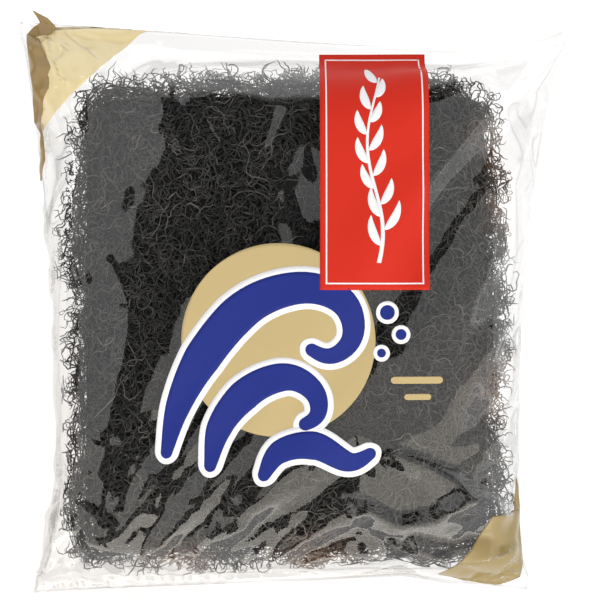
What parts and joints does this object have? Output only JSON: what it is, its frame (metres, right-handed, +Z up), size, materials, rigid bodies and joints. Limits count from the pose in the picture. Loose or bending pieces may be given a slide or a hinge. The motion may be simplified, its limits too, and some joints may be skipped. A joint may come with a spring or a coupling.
{
  "type": "bag of dried hijiki",
  "caption": "Clear film pillow bag of long dried hijiki seaweed, lying on its back: a square slab of tangled dark stems between welded webs, with a red label.",
  "frame": {"origin": "on the surface the bag lies on, under the middle of its outline", "axes": "+Z up through the bag's front, +Y towards the bag's top end, +X to the right seen from above; the bag lies on its back"},
  "size_m": [0.341, 0.356, 0.0742],
  "materials": {
    "clear_film": "clear, glossy, creased",
    "dried_hijiki": "dry, wrinkled, a slight sheen",
    "label_paper": "coated, half-gloss",
    "gold_print": "metallic gold ink on film",
    "blue_print": "opaque blue ink on film",
    "white_print": "opaque white ink on film"
  },
  "bodies": {
    "root": {"film_front": "clear_film", "film_back": "clear_film", "hijiki_front_layer": "dried_hijiki", "hijiki_back_layer": "dried_hijiki", "front_label": "label_paper"}
  },
  "joints": []
}
